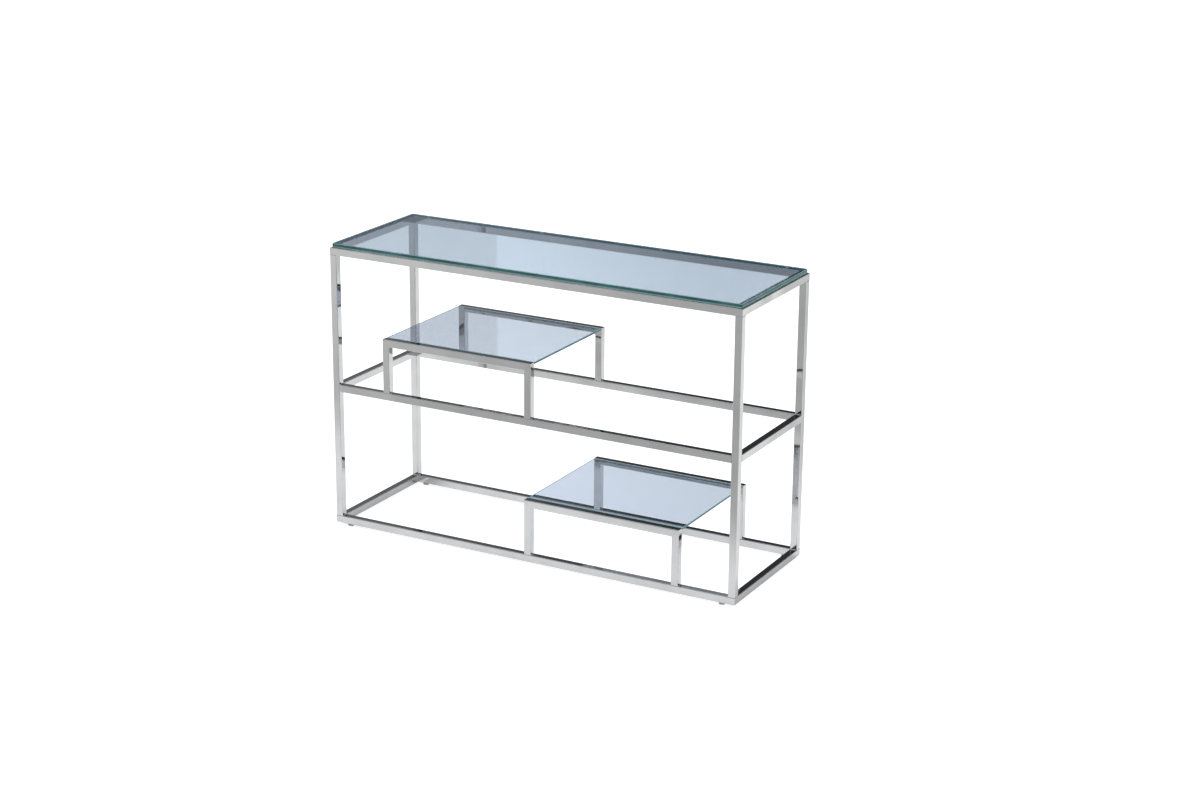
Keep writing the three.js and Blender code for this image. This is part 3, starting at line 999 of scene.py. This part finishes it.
def light_studio():
    """A soft white dome over dark walls. What is seen straight, or through glass, is white."""
    world = bpy.data.worlds.new("studio")
    bpy.context.scene.world = world
    world.use_nodes = True
    tree = world.node_tree
    tree.nodes.clear()
    join = tree.links.new

    def background(colour, strength=1.0):
        node = tree.nodes.new("ShaderNodeBackground")
        node.inputs["Color"].default_value = (*colour, 1)
        node.inputs["Strength"].default_value = strength
        return node.outputs["Background"]

    def mixed(factor, first, second):
        node = tree.nodes.new("ShaderNodeMixShader")
        for socket, value in zip(node.inputs, (factor, first, second)):
            join(value, socket)
        return node.outputs["Shader"]

    def math_node(operation, first, second):
        node = tree.nodes.new("ShaderNodeMath")
        node.operation = operation
        for socket, value in zip(node.inputs, (first, second)):
            if isinstance(value, (int, float)):
                socket.default_value = value
            else:
                join(value, socket)
        return node.outputs["Value"]

    def between(value, start, end):
        node = tree.nodes.new("ShaderNodeMapRange")
        node.interpolation_type = "SMOOTHSTEP"
        node.inputs["From Min"].default_value = start
        node.inputs["From Max"].default_value = end
        join(value, node.inputs["Value"])
        return node.outputs["Result"]

    direction = tree.nodes.new("ShaderNodeTexCoord")
    split = tree.nodes.new("ShaderNodeSeparateXYZ")
    join(direction.outputs["Generated"], split.inputs["Vector"])
    path = tree.nodes.new("ShaderNodeLightPath").outputs

    light_side = between(split.outputs["X"], WALL_DARK_SIDE, WALL_LIGHT_SIDE)
    walls = mixed(light_side, background(WALL_DARK), background(WALL_LIGHT))
    dome = mixed(
        path["Is Glossy Ray"], background(WHITE, DOME_STRENGTH), background(WHITE, DOME_IN_MIRRORS)
    )
    room = mixed(between(split.outputs["Z"], DOME_LOW, DOME_HIGH), walls, dome)

    unmirrored = math_node("LESS_THAN", path["Glossy Depth"], 0.5)
    through_glass = math_node("MULTIPLY", path["Is Transmission Ray"], unmirrored)
    straight = math_node("MAXIMUM", path["Is Camera Ray"], through_glass)
    output = tree.nodes.new("ShaderNodeOutputWorld")
    join(mixed(straight, room, background(WHITE)), output.inputs["Surface"])


def add_camera():
    """A long lens, in front and to the right, looking slightly down."""
    low, high = cad_bounds
    aim = (low + high) / 2 + AIM_FROM_CENTRE
    back = Vector(
        (
            math.sin(AZIMUTH) * math.cos(ELEVATION),
            -math.cos(AZIMUTH) * math.cos(ELEVATION),
            math.sin(ELEVATION),
        )
    )
    right = Vector((math.cos(AZIMUTH), math.sin(AZIMUTH), 0))
    up = back.cross(right)
    rolled_right = right * math.cos(ROLL) + up * math.sin(ROLL)
    rolled_up = up * math.cos(ROLL) - right * math.sin(ROLL)
    turn = Matrix((rolled_right, rolled_up, back)).transposed()
    data = bpy.data.cameras.new("camera")
    data.lens = CAMERA_LENS
    data.sensor_width = CAMERA_SENSOR_WIDTH
    data.clip_end = CAMERA_CLIP_END
    camera = bpy.data.objects.new("camera", data)
    bpy.context.scene.collection.objects.link(camera)
    camera.matrix_world = Matrix.Translation(aim + back * CAMERA_DISTANCE) @ turn.to_4x4()
    bpy.context.scene.camera = camera


# ---------------------------------------------------------------- the whole table

bpy.context.scene.view_settings.view_transform = "Standard"
chrome = make_chrome()
top_glass = make_glass("clear_top_glass", TOP_GLASS_TINT)
shelf_glass = make_glass("clear_shelf_glass", SHELF_GLASS_TINT)
glass_edge = make_glass_edge()
clear_plastic = make_clear_plastic()
foot_plastic = make_foot_plastic()
zinc_steel = make_zinc_steel()

add_frame_tubes()
add_frame_welds()
add_pane("top_glass", TOP_GLASS_CORNER, top_glass)
for side in ("front", "rear"):
    for number in range(BUMPERS_PER_RAIL):
        add_bumper(f"{side}_bumper_{number + 1}")
for shelf in ("upper", "lower"):
    add_bracket_tubes(shelf)
    add_shelf_welds(shelf)
    add_pane(f"{shelf}_shelf_glass", SHELF_GLASS_CORNER, shelf_glass)
    for side in ("front", "rear"):
        add_bar(f"{shelf}_shelf_{side}_ledge", chrome, LEDGE_EDGE)
        add_bar(
            f"{shelf}_shelf_{side}_gasket", clear_plastic,
            GASKET_EDGE, GASKET_RIBS, GASKET_RIB_DEPTH,
        )
for corner in CORNERS:
    add_pad(corner)
    add_stud(corner)
    add_insert(corner)

add_floor()
light_studio()
add_camera()
